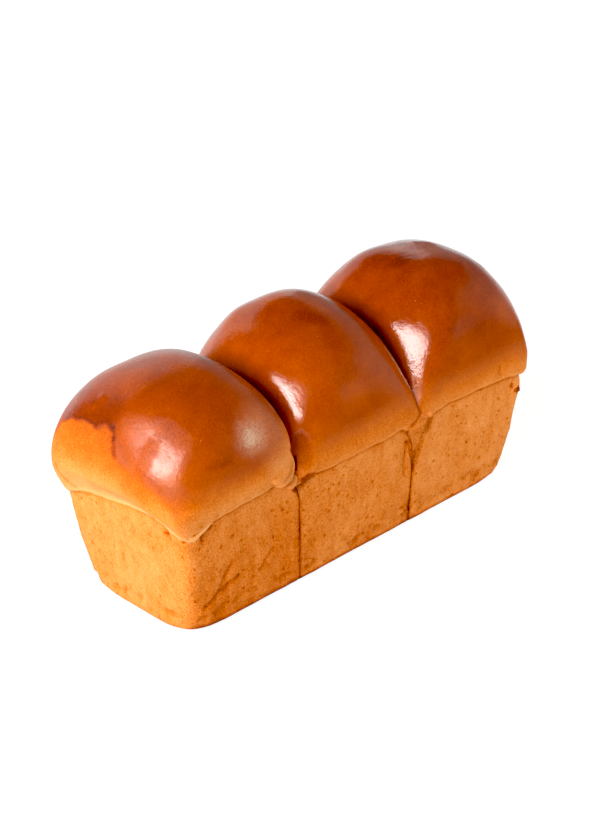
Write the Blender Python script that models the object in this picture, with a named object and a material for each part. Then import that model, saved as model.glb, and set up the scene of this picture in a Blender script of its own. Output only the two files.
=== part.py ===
"""Brioche tin loaf: three dough balls that were baked side by side in a tin and grew into one bread.

Run it with blender --background --python part.py, or from the text editor. Units are metres, +Z is up.
The loaf lies along X and stands on its flat base at z = 0, with the origin under the middle of the tin.
Its three balls meet at two seams. Below the rim line the tin shaped them into walls with rounded base
corners; above it each ball rose into a dome, whose lip hangs over the wall a little.

Each ball starts as a gridded cube. The cube's bottom becomes the base, its sides become the wall, the
underside of the lip and the foot of the dome, and its top becomes the crown. A union joins the balls
and the small folds of dough beside the seams.
"""

import math

import bmesh
import bpy
import numpy as np
from mathutils import Vector, noise

# What the tin gave the bread: its size at the rim line, and how much narrower the base is on each side
RIM_LENGTH = 0.232
RIM_WIDTH = 0.0975
RIM_HEIGHT = 0.0593
NEAR_FLARE = 0
FAR_FLARE = 0.0025
SIDE_FLARE = 0.0057
BASE_EDGE_RADIUS = 0.0045

# The upright corners: tight at the rim, and heavily rounded at the base, near end and far end
RIM_CORNER_RADIUS = 0.006
NEAR_CORNER_RADIUS = 0.020
FAR_CORNER_RADIUS = 0.024
CORNER_HEIGHT = 0.039
CORNER_FADE = 1.6

# Where the balls meet along X, and how far each wall runs past that plane into its neighbour
SEAMS = (-0.0424, 0.0368)
SEAM_EDGE_RADIUS = 0.0035
WALL_OVERLAP = 0.0012

# Each ball from the near end to the far end:
# top, the crown's height, and depth, from the rim line up to the widest line of the dome
# lip, the overhang over the long walls, and end_lip, the overhang over an end wall
# overlaps, how far the dome swells past its near and its far seam plane, and swelling, the share of the way
# from the rim line to the crown where it is that wide
# corners, the plan radii of the lip's front corners, and rise, how far the rim line climbs between corners
# lean, how far the crown is shifted in X and Y
# power, of the superellipse that the dome's profile follows, and far_power, fuller, of the half past its middle
# roundness and fade, how round the crown's outline is and how late the dome takes that outline: towards the
# front's near corner, the front's far corner and the back
BALLS = (
    {
        "top": 0.1277,
        "depth": 0.0150,
        "lip": 0.0045,
        "end_lip": 0.0090,
        "overlaps": (0, 0.0055),
        "swelling": 0.45,
        "corners": (0.0165, 0.0170),
        "rise": 0.0046,
        "lean": (-0.0037, -0.0020),
        "power": 2.31,
        "far_power": 3.03,
        "roundness": (0.94, 0.75, 0.85),
        "fade": (0.55, 1.35, 1.25),
    },
    {
        "top": 0.1299,
        "depth": 0.0093,
        "lip": 0.0040,
        "end_lip": 0,
        "overlaps": (0.0014, 0.0077),
        "swelling": 0.17,
        "corners": (0.0110, 0.0080),
        "rise": 0.0028,
        "lean": (0.0039, 0),
        "power": 2.25,
        "far_power": 2.40,
        "roundness": (0.93, 0.98, 0.92),
        "fade": (0.58, 0.70, 0.60),
    },
    {
        "top": 0.1303,
        "depth": 0.0125,
        "lip": 0.0034,
        "end_lip": 0.0079,
        "overlaps": (-0.0002, 0),
        "swelling": 0.30,
        "corners": (0.0090, 0.0108),
        "rise": 0.0030,
        "lean": (0.0066, -0.0049),
        "power": 2.30,
        "far_power": 2.30,
        "roundness": (0.93, 0.79, 0.94),
        "fade": (0.55, 0.95, 1.12),
    },
)
BACK_CORNER_RADIUS = 0.012

# The rim line falls steeply to a seam and slowly to a corner of the tin, by these powers
SEAM_DROOP, CORNER_DROOP = 8, 2.6

# Grid rows up a ball's side: round the base edge, up the wall, under the lip and up the foot of the dome
BASE_ROWS, WALL_ROWS, LIP_ROWS, FOOT_ROWS = 3, 6, 4, 6
GRID = BASE_ROWS + WALL_ROWS + LIP_ROWS + FOOT_ROWS
FOOT_ANGLE = math.radians(40)
ARC_STEPS = 24

# Small folds of dough squeezed out where balls and tin met: centre, half sizes, and turns in degrees about
# X, Y and Z. Each is a blob that is joined to the loaf.
FOLDS = {
    "ear": ((-0.0478, -0.0484, 0.0765), (0.0030, 0.0036, 0.0105), (0, 6, 25)),
    "ear_hem": ((-0.0512, -0.0490, 0.0685), (0.0068, 0.0036, 0.0036), (0, -38, 5)),
    "tongue": ((-0.0460, -0.0478, 0.0625), (0.0062, 0.0028, 0.0030), (0, -16, 0)),
    "second_tongue": ((0.0430, -0.0475, 0.0610), (0.0080, 0.0032, 0.0026), (0, -14, 0)),
    "pimple": ((0.0487, -0.0500, 0.0665), (0.0018, 0.0014, 0.0034), (0, 12, 0)),
    "far_bulge": ((0.1125, -0.0370, 0.0540), (0.0060, 0.0100, 0.0090), (0, 0, 0)),
    "near_flap": ((-0.1165, 0.0400, 0.0620), (0.0030, 0.0090, 0.0070), (0, -20, 0)),
}
FOLD_SEGMENTS, FOLD_RINGS = 14, 8

# The unevenness of hand-shaped dough: the size of its waves, their height, and where in the noise each of
# the pushes along X, Y and Z is read
UNEVEN_SIZE = 0.045
UNEVEN_DEPTH = 0.0012
UNEVEN_PLACES = ((9.3, 8.2, 8.7), (7.4, 9.1, 7.4), (7.9, 10.2, 1.6))

CRUST_COLOUR = (0.50, 0.16, 0.03, 1)


def smooth_step(t):
    t = np.clip(t, 0, 1)
    return t * t * (3 - 2 * t)


def corner_power(radius, half_size):
    """The power of the superellipse whose corner is cut as deep as a circle of that radius cuts it."""
    cut = (1 - math.sqrt(0.5)) * np.clip(radius / half_size, 0.02, 0.99)
    return math.log(2) / -np.log1p(-cut)


def side_profile(ball):
    """The ball's profile up its side, level 1 to 2, and over its crown, level 2 to 3.

    The rows give level, height, inset of the base edge, share of the lip's overhang over a long wall and
    over an end wall, where it is softer, and the share of the plan size that is left as the dome closes.
    """
    wall_level = 1 + BASE_ROWS / GRID
    rim_level = wall_level + WALL_ROWS / GRID
    widest_level = rim_level + LIP_ROWS / GRID
    widest = RIM_HEIGHT + ball["depth"]
    steps = np.linspace(0, 1, ARC_STEPS)
    rows = []
    for t in steps:
        turn = t * math.pi / 2
        height = BASE_EDGE_RADIUS * (1 - math.cos(turn))
        inset = BASE_EDGE_RADIUS * (1 - math.sin(turn))
        rows.append((1 + t * (wall_level - 1), height, inset, 0, 0, 1))
    rows.append((rim_level, RIM_HEIGHT, 0, 0, 0, 1))
    for t in steps[1:]:
        turn = t * math.pi / 2
        level = rim_level + t * (widest_level - rim_level)
        rise = 1 - math.cos(turn)
        rows.append((level, RIM_HEIGHT + ball["depth"] * rise, 0, math.sin(turn), smooth_step(rise), 1))
    foot = [(widest_level + t * (2 - widest_level), FOOT_ANGLE * t) for t in steps[1:]]
    crown = [(2 + t, FOOT_ANGLE + (math.pi / 2 - FOOT_ANGLE) * t) for t in steps[1:]]
    for level, turn in foot + crown:
        height = widest + (ball["top"] - ball["rise"] - widest) * math.sin(turn) ** (2 / ball["power"])
        share = max(math.cos(turn), 0) ** (2 / ball["power"])
        rows.append((level, height, 0, 1, 1, share))
    return np.array(rows).T


def ball_points(cube, index):
    """Lays the points of a cube from -1 to 1 onto dough ball number index."""
    ball = BALLS[index]
    bounds = (-RIM_LENGTH / 2, *SEAMS, RIM_LENGTH / 2)
    low, high = bounds[index], bounds[index + 1]
    x, y, z = cube.T
    near, front = x < 0, y < 0
    at_seam = np.where(near, index > 0, index < len(BALLS) - 1)

    # The way round the ball, u and v, is spaced closer at the corners
    ring = np.maximum(abs(x), abs(y))
    u = np.sin(x / np.maximum(ring, 1e-9) * math.pi / 2)
    v = np.sin(y / np.maximum(ring, 1e-9) * math.pi / 2)

    # The way up the ball runs from the middle of the base, level 0, to the middle of the crown, level 3
    level = np.where(z < -0.999, ring, np.where(z > 0.999, 3 - ring, 1.5 + z / 2))
    levels, *columns = side_profile(ball)
    height, inset, lip, end_lip, share = (np.interp(level, levels, column) for column in columns)
    facing_end = u**4 / np.maximum(u**4 + v**4, 1e-9)
    lip = lip + (end_lip - lip) * facing_end
    share = np.where(level < 1, level, share)
    above_base = np.clip(height / RIM_HEIGHT, 0, 1)
    widest = RIM_HEIGHT + ball["depth"]
    climb = np.clip((height - widest) / (ball["top"] - ball["rise"] - widest), 0, 1)

    flare = np.where(at_seam, 0, np.where(near, NEAR_FLARE, FAR_FLARE)) * (1 - above_base)
    overlap = np.where(near, *ball["overlaps"])
    above_rim = (height - RIM_HEIGHT) / (ball["top"] - RIM_HEIGHT)
    seam_swell = WALL_OVERLAP + (overlap - WALL_OVERLAP) * smooth_step(above_rim / ball["swelling"])
    swell = np.where(at_seam, seam_swell, ball["end_lip"] * lip)
    half_x = (high - low) / 2 - flare + swell - np.where(at_seam, 0, inset)
    half_y = RIM_WIDTH / 2 - SIDE_FLARE * (1 - above_base) + ball["lip"] * lip - inset

    base_corner = np.where(near, NEAR_CORNER_RADIUS, FAR_CORNER_RADIUS)
    fade = np.clip(1 - height / CORNER_HEIGHT, 0, 1) ** CORNER_FADE
    tin_corner = RIM_CORNER_RADIUS + (base_corner - RIM_CORNER_RADIUS) * fade
    wall_corner = np.where(at_seam, SEAM_EDGE_RADIUS, tin_corner)
    lip_corner = np.where(front, np.where(near, *ball["corners"]), BACK_CORNER_RADIUS)
    corner = wall_corner + (lip_corner - wall_corner) * lip
    half_size = (half_x + half_y) / 2
    which = np.where(front, np.where(near, 0, 1), 2)
    roundness, fade = np.array(ball["roundness"])[which], np.array(ball["fade"])[which]
    corner = corner + (roundness * half_size - corner) * climb**fade
    power = corner_power(corner, half_size)

    reach = np.where(ring < 1e-9, 1, (abs(u) ** power + abs(v) ** power) ** (1 / power))
    lean_x, lean_y = ball["lean"]
    fuller = ~near & (level > 1)
    across = np.where(fuller, share ** (ball["power"] / ball["far_power"]), share)
    px = (low + high) / 2 + half_x * across * u / reach + lean_x * climb
    py = half_y * share * v / reach + lean_y * climb
    droop = abs(u * v) ** np.where(at_seam, SEAM_DROOP, CORNER_DROOP)
    pz = height + ball["rise"] * above_base * (1 - droop * (1 - climb) ** 2)
    return np.column_stack([px, py, pz])


def uneven(point):
    """A slow push of the surface, none at the base, so that the bread still stands flat."""
    push = Vector([noise.noise(Vector(point) / UNEVEN_SIZE + Vector(place)) for place in UNEVEN_PLACES])
    return Vector(point) + push * UNEVEN_DEPTH * smooth_step(point[2] / RIM_HEIGHT)


def add_ball(index, collection):
    mesh = bpy.data.meshes.new(f"ball_{index + 1}")
    grid = bmesh.new()
    bmesh.ops.create_cube(grid, size=2)
    bmesh.ops.subdivide_edges(grid, edges=grid.edges, cuts=GRID - 1, use_grid_fill=True)
    places = ball_points(np.array([vert.co for vert in grid.verts]), index)
    for vert, place in zip(grid.verts, places):
        vert.co = uneven(place)
    bmesh.ops.recalc_face_normals(grid, faces=grid.faces)
    grid.to_mesh(mesh)
    grid.free()
    ball = bpy.data.objects.new(mesh.name, mesh)
    collection.objects.link(ball)
    return ball


def add_fold(name, collection):
    centre, radii, turns = FOLDS[name]
    mesh = bpy.data.meshes.new(name)
    blob = bmesh.new()
    bmesh.ops.create_uvsphere(blob, u_segments=FOLD_SEGMENTS, v_segments=FOLD_RINGS, radius=1)
    blob.to_mesh(mesh)
    blob.free()
    fold = bpy.data.objects.new(name, mesh)
    fold.location = centre
    fold.scale = radii
    fold.rotation_euler = [math.radians(turn) for turn in turns]
    collection.objects.link(fold)


def join_into(body, others):
    """Unions the objects of a collection into body, and removes them."""
    join = body.modifiers.new("join", "BOOLEAN")
    join.operation = "UNION"
    join.operand_type = "COLLECTION"
    join.collection = others
    joined = body.evaluated_get(bpy.context.evaluated_depsgraph_get())
    body.data = bpy.data.meshes.new_from_object(joined)
    body.modifiers.clear()
    for other in list(others.objects):
        bpy.data.objects.remove(other)
    bpy.data.collections.remove(others)


def crust_material():
    material = bpy.data.materials.new("baked_crust")
    material.use_nodes = True
    shader = material.node_tree.nodes["Principled BSDF"]
    shader.inputs["Base Color"].default_value = CRUST_COLOUR
    shader.inputs["Roughness"].default_value = 0.35
    return material


def main():
    for obj in list(bpy.data.objects):
        bpy.data.objects.remove(obj)
    bread = bpy.data.collections.new("brioche_loaf")
    bpy.context.scene.collection.children.link(bread)
    others = bpy.data.collections.new("balls_and_folds")
    bpy.context.scene.collection.children.link(others)

    loaf = add_ball(0, bread)
    loaf.name = "loaf"
    for index in range(1, len(BALLS)):
        add_ball(index, others)
    for name in FOLDS:
        add_fold(name, others)
    join_into(loaf, others)
    loaf.data.name = "loaf"
    loaf.data.materials.append(crust_material())
    loaf.data.shade_smooth()
    loaf.data.set_sharp_from_angle(angle=math.radians(50))


main()
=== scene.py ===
"""Looks of a brioche tin loaf: three glazed balls of dough that were baked side by side in a tin.

The loaf is one piece, which stands for the CAD node "loaf". Its shape follows the same sizes as the solid, on
a finer grid, with the relief of the crust added: creases, folds, blisters, pits and wrinkles. Its points
carry masks for how baked the crust is, which also holds painted shade under the lips, along the base and in
hollows and gaps and a painted highlight along the lips' edges, for how glazed it is, for a painted
reflection on the first dome, for the walls and for how near a crease lies, and the crust's material reads
them and paints shade into the creases. Units are metres, save where a comment says millimetres, +Z is up,
and the near
end of the loaf is at -X, the side that shows at -Y.
"""

import math
from types import SimpleNamespace

import bmesh
import bpy
import numpy as np
from mathutils import Matrix, Vector, noise
from mathutils.bvhtree import BVHTree
from mathutils.kdtree import KDTree


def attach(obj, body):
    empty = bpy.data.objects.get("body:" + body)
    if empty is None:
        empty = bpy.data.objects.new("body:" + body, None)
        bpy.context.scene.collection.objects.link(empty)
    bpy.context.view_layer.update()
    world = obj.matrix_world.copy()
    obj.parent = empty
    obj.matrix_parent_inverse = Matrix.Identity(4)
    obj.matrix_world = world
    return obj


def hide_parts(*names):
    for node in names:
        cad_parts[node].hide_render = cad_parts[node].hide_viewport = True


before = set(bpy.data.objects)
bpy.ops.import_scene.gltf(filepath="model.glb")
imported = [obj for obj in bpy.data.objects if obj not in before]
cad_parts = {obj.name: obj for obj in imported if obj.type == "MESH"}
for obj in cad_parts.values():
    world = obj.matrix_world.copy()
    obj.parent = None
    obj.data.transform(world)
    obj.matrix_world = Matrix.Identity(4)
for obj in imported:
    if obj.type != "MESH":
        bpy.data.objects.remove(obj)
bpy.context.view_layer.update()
SCENE = bpy.context.scene

# What the tin gave the bread, as in the solid
RIM_LENGTH = 0.232
RIM_WIDTH = 0.0975
RIM_HEIGHT = 0.0593
FAR_FLARE = 0.0025
SIDE_FLARE = 0.0057
BASE_EDGE_RADIUS = 0.0045
RIM_CORNER_RADII = (0.0095, 0.0045, 0.0060)
NEAR_CORNER_RADIUS = 0.020
FAR_CORNER_RADIUS = 0.024
CORNER_HEIGHT = 0.039
CORNER_FADE = 1.6
BACK_CORNER_RADIUS = 0.012
# How narrowly the rim droops at seams and corners, and how fast that ends up the dome
SEAM_DROOP = 12
SEAM_DROOP_FADE = 12
CORNER_DROOP = 4.2
CORNER_DROOP_FADE = 2
# The least and the most of the half size that a corner's radius may be
CORNER_LIMITS = (0.02, 0.99)

# Where the balls meet. The finer grid holds a tighter groove than the solid.
SEAMS = (-0.0424, 0.0368)
SEAM_EDGE_RADIUS = 0.0014
WALL_OVERLAP = 0.0004

# How far each seam wanders along X on the walls: heights and shifts
SEAM_WANDER = (
    ((0, 0.014, 0.026, 0.051, 0.057, 0.060), (0.0008, 0.0004, 0.0011, 0.0012, 0.0002, -0.0012)),
    ((0, 0.0075, 0.015, 0.033, 0.040, 0.049, 0.0585),
     (-0.0018, -0.0017, -0.0014, 0.0003, 0.0006, 0, -0.0036)),
)
WANDER_REACH = 0.014
WANDER_FADE = 0.008

# The balls' sizes, as in the solid, each from the near end to the far end
BALL_SIZES = {
    "top": (0.1277, 0.1299, 0.1303),
    "depth": (0.0150, 0.0093, 0.0125),
    "lip": (0.0045, 0.0040, 0.0034),
    "end_lip": (0.0090, 0, 0.0079),
    "overlaps": ((0, 0.0055), (0.0014, 0.0077), (-0.0002, 0)),
    "swelling": (0.45, 0.17, 0.30),
    "corners": ((0.0165, 0.0170), (0.0110, 0.0080), (0.0090, 0.0108)),
    "rise": (0.0046, 0.0028, 0.0030),
    "lean": ((-0.0037, -0.0020), (0.0039, 0), (0.0066, -0.0049)),
    "power": (2.31, 2.25, 2.30),
    "far_power": (3.03, 2.40, 2.30),
    "roundness": ((0.94, 0.75, 0.85), (0.93, 0.98, 0.92), (0.93, 0.79, 0.94)),
    "fade": ((0.55, 1.35, 1.25), (0.58, 0.70, 0.60), (0.55, 0.95, 1.12)),
}
BALLS = [dict(zip(BALL_SIZES, sizes)) for sizes in zip(*BALL_SIZES.values())]
UNEVEN_SIZE = 0.045
UNEVEN_DEPTH = 0.0012
UNEVEN_PLACES = ((9.3, 8.2, 8.7), (7.4, 9.1, 7.4), (7.9, 10.2, 1.6))

# The edge under the lips wavers. On the first ball it climbs towards the seam and sags on the back
# half of the end: places along the side, from -1 to 1, and shifts
RIM_WAVE = 0.0008
RIM_WAVE_SIZE = 0.011
RIM_SHIFT_REACH = 0.012
FRONT_RIM_SHIFT = ((-1, -0.84, -0.7, -0.2, 0.2, 0.6, 1), (0, 0.0022, 0.0016, 0.0020, 0.0024, 0.0032, 0.0022))
END_RIM_SHIFT = (
    (-1, -0.84, -0.7, -0.55, -0.2, 0.3, 0.7, 1),
    (0, 0.0018, 0.0026, 0.0014, 0.0002, -0.0040, -0.0032, -0.0055),
)
BACK_RIM_SHIFT = ((-1, -0.8, -0.5), (-0.0055, -0.0040, 0))

# The grid of a ball: cells along X and Y, and rows up its side
CELLS = (80, 88)
BASE_ROWS = 4
WALL_ROWS = 44
LIP_ROWS = 14
FOOT_ROWS = 30
ROWS = BASE_ROWS + WALL_ROWS + LIP_ROWS + FOOT_ROWS
CORNER_BIAS = 0.45
FOOT_ANGLE = math.radians(40)
ARC_STEPS = 60

# How the wall ends above the rim, and the loaf's front towards its ends
WALL_FADE = 0.0012
FRONT_FADE = (0.62, -0.40)

# Creases and wrinkles: ball, half width, depth, darkness of the painted shade in them and the line's points,
# in X and Z on the front and in Y and Z on the near end. These tables, and those of bumps, marks and folds,
# are in millimetres.
MM = 0.001
FRONT_CREASES = (
    (0, 1.6, 1.3, 0.75, (-104, 15), (-97.6, 19.4), (-89.6, 22.2), (-82.3, 24.7)),
    (0, 1.5, 1, 0.6, (-98.3, 17.2), (-92, 27), (-86.4, 34.7)),
    (0, 1.5, 0.8, 0.5, (-68.5, 21), (-64, 26.2), (-59.5, 30.3)),
    (0, 1.6, 1.4, 1, (-104.9, 61.4), (-104.6, 58.5), (-103.9, 54.9)),
    (1, 2, 3.2, 1, (-40.5, 58), (-37.2, 59.5), (-33, 61.5)),
    (1, 1.1, 0.5, 0.6, (32.3, 54.5), (31.7, 43.5), (31.3, 33)),
    (2, 1.2, 0.7, 0.3, (98.4, 71.7), (99.1, 65)),
)
END_CREASES = (
    (0, 1.6, 1.4, 0.9, (-32.8, 61.4), (-33.5, 58.5), (-34, 56)),
)
CREASE_WAVER = 0.6
CREASE_FAINTNESS = 0.9
CREASE_NOISE = (0.0030, 2, 9.2)
CREASE_REACH = 0.010
# The edge under the front lips counts as a crease this far off, so that it gets painted shade
LIP_CREASE = 0.0006

# The recessed flap beyond the second seam: its edge's heights and places along X, and its own heights
FLAP_EDGE = (
    (0.0331, 0.0374, 0.0424, 0.0483, 0.0539, 0.0592),
    (0.0372, 0.0394, 0.0421, 0.0457, 0.0500, 0.0520),
)
FLAP_RANGE = (0.0301, 0.0613)
FLAP_DEPTH = 0.0018
FLAP_STEP = 0.0009
# Painted shade in the flap's recess
FLAP_PAINTED_SHADE = 0.04

# Slow relief of the walls and of the domes: depth, grain size, octaves and shift of each noise
WALL_NOISES = ((0.00055, 0.011, 2, 5.7), (0.00024, 0.0035, 2, 1.9))
DOME_NOISES = ((0.00040, 0.019, 1, 8.3), (0.00007, 0.006, 1, 2.2))
BASE_CALM = 0.004

# Blisters on the lip's band over the long side, one to a cell but for some gaps, with a height for each ball
BLISTER_CELL = 0.0023
BLISTER_REACH = 0.55
BLISTER_GAPS = 0.1
BLISTER_HEIGHTS = (0.00045, 0.00008, 0.00008)
BLISTER_BAND = (0, 0.003, 0.0132, 0.006)

# Pits and rough rows low on the walls
GOUGE_HEIGHT = 0.009
GOUGE_REACH = 0.008
GOUGE_STRETCH = (0.6, 0.6, 1)
GOUGE_NOISE = (0.0040, 2, 4.4)
GOUGE_CONTRAST = 3
GOUGE_DEPTH = 0.0011
GOUGE_BAKE = 0.10

# Bumps and hollows set one by one: centre, radius and height
BUMPS = (
    (-122.8, -34.6, 88.3, 13.8, 1.3),
    (-113.6, -31.5, 110.6, 14.2, -1.5),
    (-31.9, -41.8, 93.5, 7.2, 1.2),
    (-30.8, -26.4, 108.7, 10, 0.8),
    (47.7, -49, 81.8, 8.6, 0.8),
    (46.3, -25.9, 104.3, 7.8, 0.6),
    (-101.5, -47, 59.2, 3, -2),
    (-113.7, -31.8, 57.2, 2.8, -1.8),
    (7, 6, 130, 17, 1.8),
    (-70, 0, 127.9, 16, 1.2),
    (64, 14, 124, 15, 1.8),
    (-2.3, 11.9, 128.9, 13, 1.6),
    (-13.1, 24, 122.2, 11, 1.4),
    (-18.4, 26.3, 118.3, 9, 0.8),
    (67.4, 16.8, 124.4, 13, 1.4),
    (75.8, 8.3, 128.6, 12, 1),
    (97.9, -27.8, 125.7, 10, 0.9),
    (110.2, -51.7, 70.7, 8, 2),
    (116.5, -47, 63, 5, 3),
    (-111.1, 12.9, 117.6, 2.2, 0.5),
    (99, -0.6, 128.2, 4, 0.6),
    (93, 4, 129, 3, 0.5),
    (109.4, -27.1, 116.7, 3.2, 0.6),
    (110.4, -34.8, 111.1, 2.6, 0.5),
    (113, -47.9, 58.8, 1.8, -2.4),
)

# Stains, drips, burnt spots, painted shade in gaps and hollows, and a painted reflection: radius, how much
# more baked and glazed, how much of the painted reflection, and points of the line
MARKS = (
    (2.2, 0.1, -0.7, 0, (-119.6, -4.6, 110.1), (-121.7, -6.5, 105.5), (-123.6, -8.5, 99)),
    (1.2, 0.28, 0, 0, (-115.9, 38.3, 102.4)),
    (1.2, 0.3, 0, 0, (-119.4, 31.2, 102.4), (-120, 34, 100)),
    (1.6, 0.07, 0, 0, (-100.8, -50.9, 96.4), (-93.2, -51.6, 95.6), (-85.9, -51.8, 94.7)),
    (3, 0.04, 0, 0, (76.6, -37.6, 118), (72.9, -43.3, 111.5), (69.5, -47.7, 103.9)),
    (4.5, 0.07, 0, 0, (79, -8, 130.4), (72, -7, 129)),
    (4, 0.05, 0, 0, (-2.6, -13, 128.4), (4.2, -20.5, 126.5)),
    (4.5, 0, -0.54, 0, (-116, -30.5, 108.5), (-118.8, -29.2, 104), (-121.3, -28.6, 97.5)),
    (9, 0, -0.34, 0, (-118.5, -20, 108.8)),
    (5, 0, -0.5, 0, (-107.4, -30.7, 114.9), (-104.8, -39.1, 110.2)),
    (8, 0, -0.35, 0, (-118, -48, 83), (-117, -51, 74)),
    # These three paint a reflection on the first dome: a pale grainy spot, and a paler ring round it
    (4.5, 0, 0.1, 0.44, (-70.7, -50.4, 101)),
    (8.5, 0, 0, 0.34, (-70, -50.4, 101)),
    (11, -0.08, 0, 0.1, (-64, -50, 106), (-56, -51, 96), (-54, -52, 87)),
    # These five paint shade: in the cleft below the second dome's highlight, in the gap beside the ear, in
    # the hollow under the second dome's lip, and under the first dome's chin on both sides
    (4, 0.12, -1, 0, (-35.1, -45.8, 82.5), (-35.7, -47.5, 78.2), (-37.1, -49.2, 73.1)),
    (1.1, 0.5, -0.5, 0, (-45.1, -48.8, 82.8), (-40.2, -45.1, 73.4), (-41.5, -47, 69.5), (-47.1, -51, 68.9)),
    (1.4, 0.42, 0, 0, (-44, -47.7, 58), (-39.1, -45.2, 57.8), (-39.3, -49.8, 63.2), (-36.5, -50.6, 64.6)),
    (1.4, 0.34, 0, 0, (-114.2, -30.8, 58.7), (-113.3, -33, 56.2)),
    (1.5, 0.4, 0, 0, (-105, -46.6, 58.5), (-99.2, -47.6, 62.2)),
    # These two paint shade along the creases of the second seam and of the flap beyond it
    (0.8, 0.22, 0, 0, (35.6, -46.8, 55.8), (33.7, -47.6, 51.5), (35.7, -47.1, 42.6), (38.1, -46.1, 32.7)),
    (0.8, 0.12, 0, 0, (52.1, -47.9, 59.9), (48.5, -46.6, 52.6), (43.1, -46.3, 44.6), (38.8, -46.3, 35.5)),
    (1.2, 0.2, 0, 0, (-125.4, 41.6, 75.2), (-121.1, 40.1, 63.9), (-118.6, 37.3, 60.3)),
    # Painted shade in the hollow between the far lip and its fold
    (2, 0.45, 0, 0, (113.7, -48, 59.2)),
    (2.2, 0.4, 0, 0, (111.1, -48, 54.1), (116.1, -46, 50)),
)
# The marks' edges are ragged, less so where the radius is above this one
MARK_NOISE = (0.004, 2, 3.3)
MARK_RAGGEDNESS = 0.5
RAGGED_RADIUS = 2.5
MARK_EDGE = 1.5

# Small folds squeezed out where balls and tin met: how baked, and the strand's points, each with its radius
FOLDS = {
    "ear": (
        0.26, (-46.4, -47.8, 81.2, 0.9), (-44.3, -47.6, 76.8, 1.5), (-44.3, -47.8, 72.8, 1.8),
        (-46.6, -48.8, 69.8, 2), (-50.5, -50.2, 68.1, 2), (-55.1, -51.6, 67.8, 1.7),
        (-60.1, -52.6, 69.5, 0.9),
    ),
    "ear_fold": (
        0.33, (-50.5, -49.2, 81.6, 1.4), (-49, -49.2, 77.4, 2.3), (-50.2, -49.8, 74.2, 2.7),
        (-53.3, -50.9, 72.2, 2.8), (-57.8, -52.2, 71.8, 2.5), (-62.7, -53, 72.9, 1.3),
    ),
    "tongue": (
        0.28, (-43.2, -47, 67.6, 1.3), (-44, -47.9, 64.8, 2), (-46.5, -48.9, 63.2, 2.5),
        (-50.4, -50, 64, 1.6),
    ),
    "second_tongue": (
        0.4, (33.3, -49.2, 60.4, 1.3), (37.2, -49.6, 60.6, 2.1), (41.6, -49.6, 61.2, 2.3),
        (45.6, -49.2, 61.7, 1.6),
    ),
    "pimple": (
        0.36, (48.5, -49.6, 62.2, 1.3), (48.1, -50.4, 65, 1.8), (48.3, -50, 67, 1),
    ),
    "chin": (
        0.08, (-115.5, -30, 65.2, 0.8), (-114.8, -40, 64.2, 2.4), (-110.8, -45.2, 60.8, 3.5),
        (-104, -47.6, 63.2, 2.5), (-96.5, -48.7, 66.4, 0.8),
    ),
    "far_corner": (
        0.3, (113.4, -45.2, 61.2, 2.2), (113.7, -45.4, 56.5, 4), (113.1, -44.8, 50.5, 4.5),
        (111.7, -43.2, 43, 4.5), (110.6, -41.6, 35, 4.5), (109.6, -39.9, 27, 3.8),
    ),
    "scorched_spot": (
        0.88, (112.2, -48.6, 51.2, 0.8), (113.2, -48.9, 50.8, 1.2), (114.3, -48.8, 50.3, 0.9),
    ),
    "far_bulge": (
        0.45, (113, -44, 57, 3), (112.5, -38, 54, 7), (112, -30, 50, 3),
    ),
}
FOLD_SIDES = 16
FOLD_STEPS = 40
# The share of a strand in which each of its ends closes to a dome, and the least that is left there
FOLD_CLOSING = 0.12
FOLD_LEAST = 0.01
FOLD_TURN = (0.3, 1, 0.2)
FOLD_NOISE_SIZE = 0.006
FOLD_NOISE_DEPTH = 0.0004
FOLD_GLAZE = 0.10
FOLD_WALL = 0.4
# How the folds melt into the crust
SOFTENING = 0.6
SOFTENING_REACH = 0.0018
SOFTENING_STEPS = 5

# How baked each part of the crust is, from 0, pale crumb, to 1, burnt; some rows below add painted shade and
# highlight
WALL_BAKES = (0.37, 0.40, 0.345)
END_WALL_BAKE = 0.335
LIP_BAKES = (0.36, 0.45, 0.42)
DOME_BAKES = (0.69, 0.68, 0.72)
CROWN_BAKE = 0.13
# The ends below the egg wash: heights above the rim and how baked they are there
END_BAKES = ((0.001, 0.006, 0.012, 0.022, 0.040), (0.10, 0.17, 0.30, 0.50, 0.66))
END_BAKE_WAVE = 0.003
# A slow unevenness, and how much of it the domes and the walls get
SLOW_NOISE = (0.022, 3, 3.1)
DOME_UNEVENNESS = 0.05
WALL_UNEVENNESS = 0.03
# Above the rim at the ends' front corners
CORNER_BAKE = 0.05
CORNER_BAKE_SIDE = (0, -0.6)
CORNER_BAKE_RISE = (0.008, 0.008)
# On the first dome's near end: from where on along Y, and how it ends up the dome
NEAR_DOME_BAKE = 0.24
NEAR_DOME_START = (-0.0100, 0.0080)
NEAR_DOME_CLIMB = (1, -0.6)
# Painted shadow under the lip, and a paler edge along it, partly the crust's own tone and partly a painted
# highlight: middle and width above the rim, how much, and what the ends lack
LIP_SHADES = ((0, 0.0014, 0.14, 0.4), (0.0012, 0.0013, -0.12, 0.7))
# Darker on the first ball's front wall, all over and more towards the base
FIRST_WALL_DARKENING = 0.05
FIRST_WALL_LOW_DARKENING = 0.09
FIRST_WALL_LOW = (0, -0.045)
# The edge of the base is darker, partly a darker baked underside and partly a painted contact shadow: all
# along the front, and this share of it elsewhere
BASE_EDGE_BAKE_AND_SHADOW = 0.5
BASE_EDGE_HEIGHT = (0.0034, -0.0010)
BASE_EDGE_LEAST = 0.15

# Where the egg wash ends above the rim, at the front and at the ends, and how soft its edge is
GLAZE_EDGES = (0.017, 0.013, 0.013)
END_GLAZE_EDGE = 0.043
GLAZE_SOFTNESS = 0.012
END_GLAZE_SOFTNESS = 0.0014
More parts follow.
